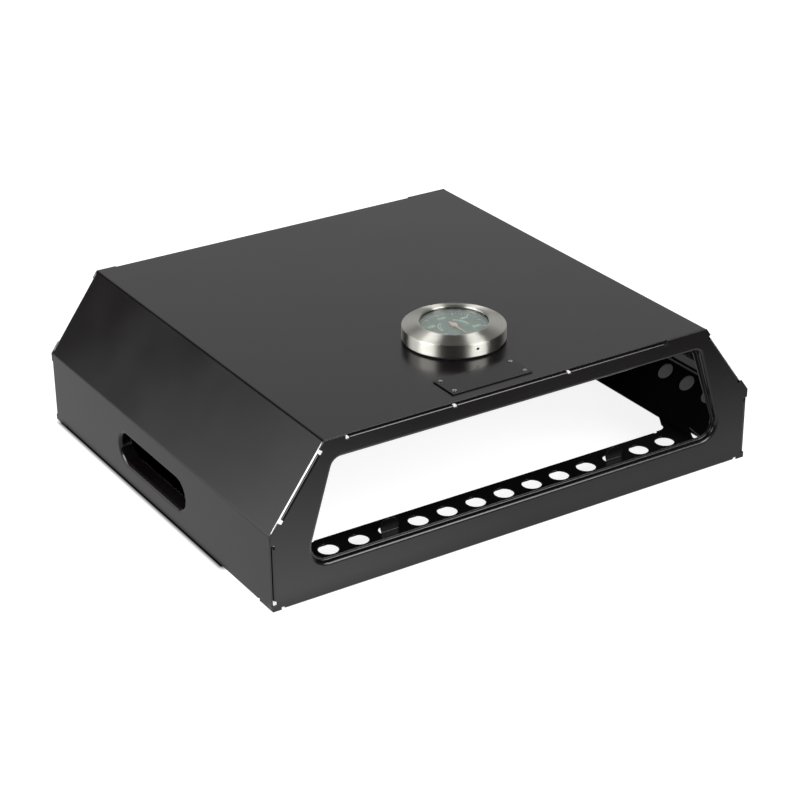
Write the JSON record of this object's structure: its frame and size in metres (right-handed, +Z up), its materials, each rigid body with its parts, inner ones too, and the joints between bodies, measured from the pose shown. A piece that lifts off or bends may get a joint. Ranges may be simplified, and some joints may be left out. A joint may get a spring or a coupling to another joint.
{
  "type": "barbecue pizza oven",
  "caption": "Low sheet-metal pizza oven hood for a barbecue, with an open front mouth, a perforated stone tray, side hand-holds and a dial thermometer in its top.",
  "frame": {"origin": "middle of the underside, on the grill that the hood stands on", "axes": "+X to the cook's right along the mouth, +Y to the back away from the mouth, +Z up"},
  "size_m": [0.41, 0.3474, 0.1316],
  "materials": {
    "black_paint": "satin black heat-resistant coating",
    "plate_black": "gloss black",
    "brushed_steel": "brushed round the axis",
    "rivet_metal": "bare",
    "clear_glass": "clear",
    "black_rubber": "matt",
    "dial_enamel": "printed, matt",
    "brass": "turned",
    "needle_red": "matt"
  },
  "bodies": {
    "oven": {"casing": "black_paint", "front_panel": "black_paint", "rear_panel": "black_paint", "stone_tray": "black_paint", "nameplate": "plate_black", "nameplate_rivet_1": "rivet_metal", "nameplate_rivet_2": "rivet_metal", "nameplate_rivet_3": "rivet_metal", "nameplate_rivet_4": "rivet_metal", "base_gasket": "black_rubber", "thermometer_bezel": "brushed_steel", "thermometer_lens": "clear_glass", "lens_seal": "black_rubber", "thermometer_case": "brushed_steel", "thermometer_dial": "dial_enamel", "dial_support_ring": "brushed_steel", "threaded_shank": "brushed_steel", "spindle_bush": "brass", "clamp_washer": "brushed_steel", "clamp_nut": "brushed_steel", "probe_tube": "brushed_steel", "bimetal_coil": "brushed_steel"},
    "pointer": {"thermometer_pointer": "needle_red", "pointer_spindle": "brushed_steel"}
  },
  "joints": [
    {"name": "pointer_turn", "type": "hinge", "parent": "oven", "child": "pointer", "pos_m": [-0.0005, -0.0851, 0.126], "axis": [0, 0, 1], "range_deg": [-300, 0]}
  ]
}
